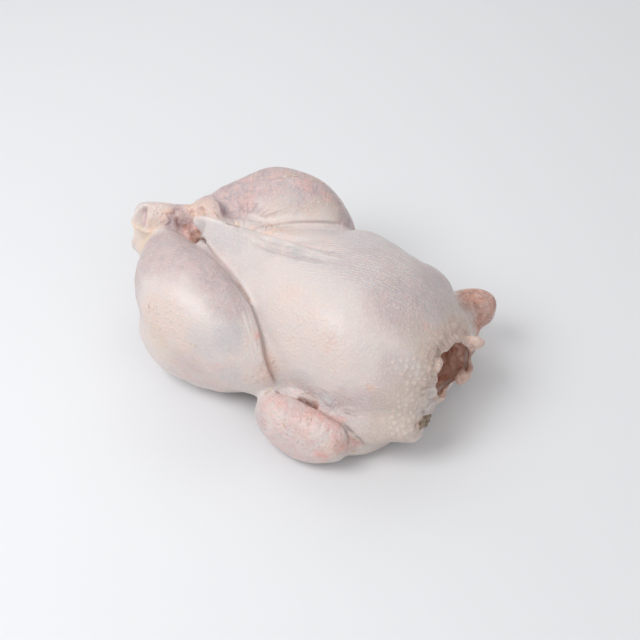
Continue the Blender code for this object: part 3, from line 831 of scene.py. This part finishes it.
# ---------------------------------------------------------------- scraps at the cut neck
# Loose ends left where the neck was cut: a stubby end of skin at the arch's far side, a
# lump of tan fat on the far wall, and a dark olive-brown tag of skin low on the near side.

def lump(name, centre, facing, upward, size):
    """A ball squeezed to size mm sideways, upward and outward, before it is made uneven."""
    facing, upward = Vector(facing).normalized(), Vector(upward)
    upward = (upward - upward.project(facing)).normalized()
    turned = Matrix((upward.cross(facing), upward, facing)).transposed()
    bpy.ops.object.select_all(action="DESELECT")
    bpy.ops.mesh.primitive_ico_sphere_add(
        subdivisions=5, radius=1, location=at(*centre), rotation=turned.to_euler())
    piece = bpy.context.object
    piece.name = name
    piece.scale = Vector(size) * MM
    return piece


def settle(piece, uneven, hill, seed, material):
    """Makes a lump uneven by some mm, over hills some mm across, and puts it in its place."""
    bpy.ops.object.transform_apply(location=True, rotation=True, scale=True)
    co = points_of(piece.data)
    rise = uneven * (hills(co, hill, seed) + 0.5 * hills(co, hill / 2.2, seed + 1))
    co += normals_of(piece.data) * rise[:, None] * MM
    reshape(piece.data, np.clip(co, np.array(cad_box[0]), np.array(cad_box[1])))
    bpy.ops.object.shade_smooth()
    piece.data.materials.append(material)
    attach(piece, "root")



def scrap(name, centre, facing, upward, size, tints, seed):
    piece = lump(name, centre, facing, upward, size)
    for label, share in tints.items():
        paint(piece.data, label, np.full(len(piece.data.vertices), share))
    settle(piece, 1.1, 4.5, seed, paint_of_skin)


scrap("neck_nub", (101.5, 21.2, 62), (0.2, -0.5, 0.7), (-0.385, 0.593, 0.707), (8.2, 4.6, 4.2),
      {"tan": 1.0, "crinkled": 0.5, "russet": 0.4}, 51)
scrap("neck_fat", (100, 13, 33), (0.7, -0.5, 0.5), (0.5, 0.3, 0.8), (5.5, 6.2, 4.6),
      {"tan": 1.0, "crinkled": 0.6, "apricot": 0.3, "russet": 0.5}, 61)

dark_tag_paint = bpy.data.materials.new("dark_tag_skin")
dark_tag_paint.use_nodes = True
recipe = Recipe(dark_tag_paint.node_tree)
place = recipe.add("ShaderNodeTexCoord").outputs["Object"]
patchy = use(recipe, "blotches", Vector=place, Size_mm=4, Low=0.4, High=0.6, Detail=3)["Share"]
specks = use(recipe, "blotches", Vector=place, Size_mm=1.2, Low=0.45, High=0.62)["Share"]
colour = recipe.mix(patchy, tone(20, 14, 9), tone(32, 24, 18))
colour = recipe.mix(recipe.math("MULTIPLY", specks, 0.4), colour, tone(46, 38, 30))
bump = recipe.add("ShaderNodeBump", Strength=0.8, Distance=0.0006, Height=recipe.math("ADD", patchy, specks))
shader = dark_tag_paint.node_tree.nodes["Principled BSDF"]
recipe.feed(shader.inputs["Base Color"], colour)
recipe.feed(shader.inputs["Roughness"], recipe.math("MULTIPLY_ADD", patchy, 0.2, 0.45))
recipe.feed(shader.inputs["Normal"], bump.outputs["Normal"])
piece = lump("neck_tag", (99, -40, 36), (0.6, -0.4, 0.6), (0.321, 0.805, 0.5), (2.7, 7.2, 2.0))
settle(piece, 1.0, 4, 71, dark_tag_paint)

# ---------------------------------------------------------------- quills
# A few quills the plucking left behind: thin hollow horn, pale and half clear, lying
# almost flat with their roots still in the skin of the thighs and wings.

horn = bpy.data.materials.new("quill_horn")
horn.use_nodes = True
recipe = Recipe(horn.node_tree)
place = recipe.add("ShaderNodeTexCoord").outputs["Object"]
patchy = use(recipe, "blotches", Vector=place, Size_mm=2, Low=0.4, High=0.6)["Share"]
shader = horn.node_tree.nodes["Principled BSDF"]
recipe.feed(shader.inputs["Base Color"], recipe.mix(patchy, tone(90, 78, 62), tone(80, 62, 46)))
recipe.feed(shader.inputs["Roughness"], recipe.math("MULTIPLY_ADD", patchy, 0.15, 0.3))

quills = []
for root, lean, length in (
    ((-5, -71, 36), (-0.7, -0.5, -0.6), 8), ((-80, 58, 103), (0.5, 0.5, 0.5), 7), ((-76, 62, 103), (0.6, 0.4, 0.6), 6),
    ((-104, 50, 96), (-0.4, 0.6, 0.5), 5), ((-58, 74, 98), (0.3, 0.7, 0.5), 5), ((66, -76, 12), (0.8, -0.5, 0.1), 5),
    ((20, -90, 30), (-0.3, -0.4, 0.8), 4), ((-98, -76, 70), (-0.3, -0.6, 0.6), 4), ((58, 84, 36), (0.6, 0.3, 0.6), 5),
    ((-84, 80, 70), (-0.6, 0.2, 0.7), 5), ((-58, -84, 64), (0.7, -0.3, 0.5), 4), ((24, 82, 34), (-0.8, 0.2, 0.4), 4),
):
    foot, out, _, _ = final.tree.find_nearest(at(*root))
    lean = Vector(lean).normalized()
    lean = (lean - lean.project(out)).normalized() + out * 0.22
    bpy.ops.object.select_all(action="DESELECT")
    bpy.ops.mesh.primitive_cone_add(vertices=10, radius1=0.5 * MM, radius2=0.22 * MM, depth=length * MM,
                                    location=foot + lean * (length * 0.36) * MM,
                                    rotation=lean.to_track_quat("Z", "Y").to_euler())
    quills.append(bpy.context.object)
for quill in quills:
    quill.select_set(True)
bpy.ops.object.join()
quills = bpy.context.object
quills.name = "quills"
bpy.ops.object.transform_apply(location=True, rotation=True, scale=True)
bpy.ops.object.mode_set(mode="EDIT")
bpy.ops.mesh.select_all(action="SELECT")
bpy.ops.mesh.bevel(offset=0.08 * MM, segments=2, affect="EDGES")
bpy.ops.object.mode_set(mode="OBJECT")
bpy.ops.object.shade_smooth_by_angle(angle=math.radians(50))
quills.data.materials.append(horn)
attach(quills, "root")
